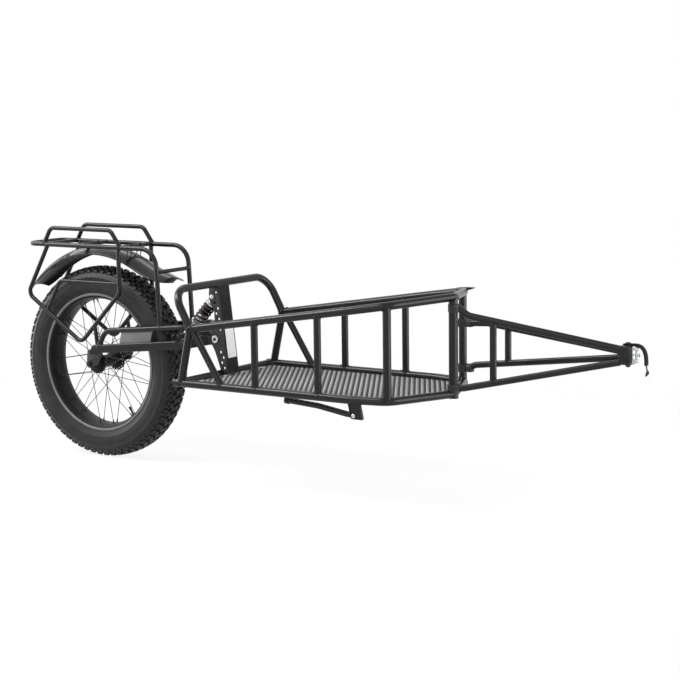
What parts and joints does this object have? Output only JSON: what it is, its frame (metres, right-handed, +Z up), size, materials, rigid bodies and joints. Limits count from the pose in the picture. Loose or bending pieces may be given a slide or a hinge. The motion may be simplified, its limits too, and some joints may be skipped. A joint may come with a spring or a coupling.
{
  "type": "single-wheel cargo bike trailer",
  "caption": "Single-wheel cargo bike trailer: tube basket with mesh floor, sprung fat wheel under a small rack, folding tongue with universal hitch.",
  "frame": {"origin": "on the ground under the middle of the trailer's length and width", "axes": "+X forward to the hitch, +Y to the trailer's left, +Z up"},
  "size_m": [2.016, 0.4606, 0.696],
  "materials": {
    "frame_paint": "satin black powder coat",
    "mast_paint": "satin dark grey paint",
    "mesh_steel": "dull expanded steel",
    "fastener_steel": "zinc plated",
    "spoke_steel": "dark spokes",
    "rim_aluminium": "black anodised",
    "tyre_rubber": "matte black rubber",
    "foot_rubber": "matte black rubber",
    "fender_plastic": "semi-matte black",
    "spring_paint": "dark brown-black paint",
    "strap_webbing": "black webbing",
    "clip_plastic": "black moulded plastic"
  },
  "bodies": {
    "basket": {"lower_rail": "frame_paint", "upper_rail": "frame_paint", "rear_hoop": "frame_paint", "side_post_rear_right": "frame_paint", "side_post_rear_left": "frame_paint", "side_post_front_right": "frame_paint", "side_post_front_left": "frame_paint", "shoulder_post_right": "frame_paint", "shoulder_post_left": "frame_paint", "nose_post": "frame_paint", "rear_brace_right": "frame_paint", "rear_brace_left": "frame_paint", "floor_mesh": "mesh_steel", "mast_channel": "mast_paint", "pivot_bolt": "fastener_steel", "shock_top_bolt": "fastener_steel", "nose_cap_upper": "mast_paint", "nose_cap_lower": "mast_paint", "stand_bracket": "frame_paint", "stand_bolt": "fastener_steel", "stand_spacer": "fastener_steel"},
    "swingarm": {"pivot_sleeve": "frame_paint", "swingarm_right": "frame_paint", "swingarm_left": "frame_paint", "swingarm_cross_tube": "frame_paint", "shock_lower_bolt": "fastener_steel", "axle": "fastener_steel", "rack_frame": "frame_paint", "rack_crossbar_rear": "frame_paint", "rack_crossbar_middle": "frame_paint", "rack_crossbar_front": "frame_paint", "rack_leg_crossbar": "frame_paint", "rack_hoop_right": "frame_paint", "rack_hoop_left": "frame_paint", "pannier_frame_right": "frame_paint", "pannier_frame_left": "frame_paint", "fender": "fender_plastic"},
    "wheel": {"tyre": "tyre_rubber", "rim": "rim_aluminium", "hub": "rim_aluminium", "spokes_right": "spoke_steel", "spokes_left": "spoke_steel"},
    "damper": {"shock_body": "frame_paint", "shock_collar": "fastener_steel", "shock_spring": "spring_paint"},
    "damper_shaft": {"shock_shaft": "fastener_steel"},
    "tongue": {"tongue_right_truss": "frame_paint", "tongue_left_truss": "frame_paint", "hitch_block": "frame_paint", "hitch_bolt": "fastener_steel", "hitch_fork": "fastener_steel", "hitch_king_pin": "fastener_steel", "safety_strap": "strap_webbing", "strap_clip": "clip_plastic", "strap_ring": "fastener_steel"},
    "cross": {"hitch_cross": "fastener_steel"},
    "yoke": {"hitch_yoke": "fastener_steel"},
    "stand": {"stand_leg": "frame_paint", "stand_foot": "foot_rubber"}
  },
  "joints": [
    {"name": "swing", "type": "hinge", "parent": "basket", "child": "swingarm", "pos_m": [-0.276, 0, 0.385], "axis": [0, 1, 0], "range_deg": [0, 12], "stiffness_Nm_per_rad": 600},
    {"name": "wheel_spin", "type": "hinge", "parent": "swingarm", "child": "wheel", "pos_m": [-0.711, 0, 0.288], "axis": [0, 1, 0], "continuous": true},
    {"name": "shock_tilt", "type": "hinge", "parent": "basket", "child": "damper", "pos_m": [-0.285, 0, 0.507], "axis": [0, 1, 0], "range_deg": [0, 4.5]},
    {"name": "shock_stroke", "type": "slide", "parent": "damper", "child": "damper_shaft", "axis": [0.6877, 0, 0.726], "range_m": [0, 0.02], "deforming": ["shock_spring"]},
    {"name": "tongue_fold", "type": "hinge", "parent": "basket", "child": "tongue", "pos_m": [0.41615, 0.19495, 0.387], "axis": [0, 0, 1], "range_deg": [0, 150]},
    {"name": "hitch_yaw", "type": "hinge", "parent": "tongue", "child": "cross", "pos_m": [0.988, 0.095, 0.413], "axis": [0, 0, 1], "range_deg": [-60, 60]},
    {"name": "hitch_pitch", "type": "hinge", "parent": "cross", "child": "yoke", "pos_m": [0.988, 0.095, 0.413], "axis": [0, 1, 0], "range_deg": [-35, 35]},
    {"name": "stand_swing", "type": "hinge", "parent": "basket", "child": "stand", "pos_m": [0.328, -0.205, 0.245], "axis": [0, 1, 0], "range_deg": [-100, 0]}
  ],
  "couplings": [
    {"joint": "shock_tilt", "follows": "swing", "ratio": 0.35299},
    {"joint": "shock_stroke", "follows": "swing", "m_per_rad": 0.092988}
  ]
}
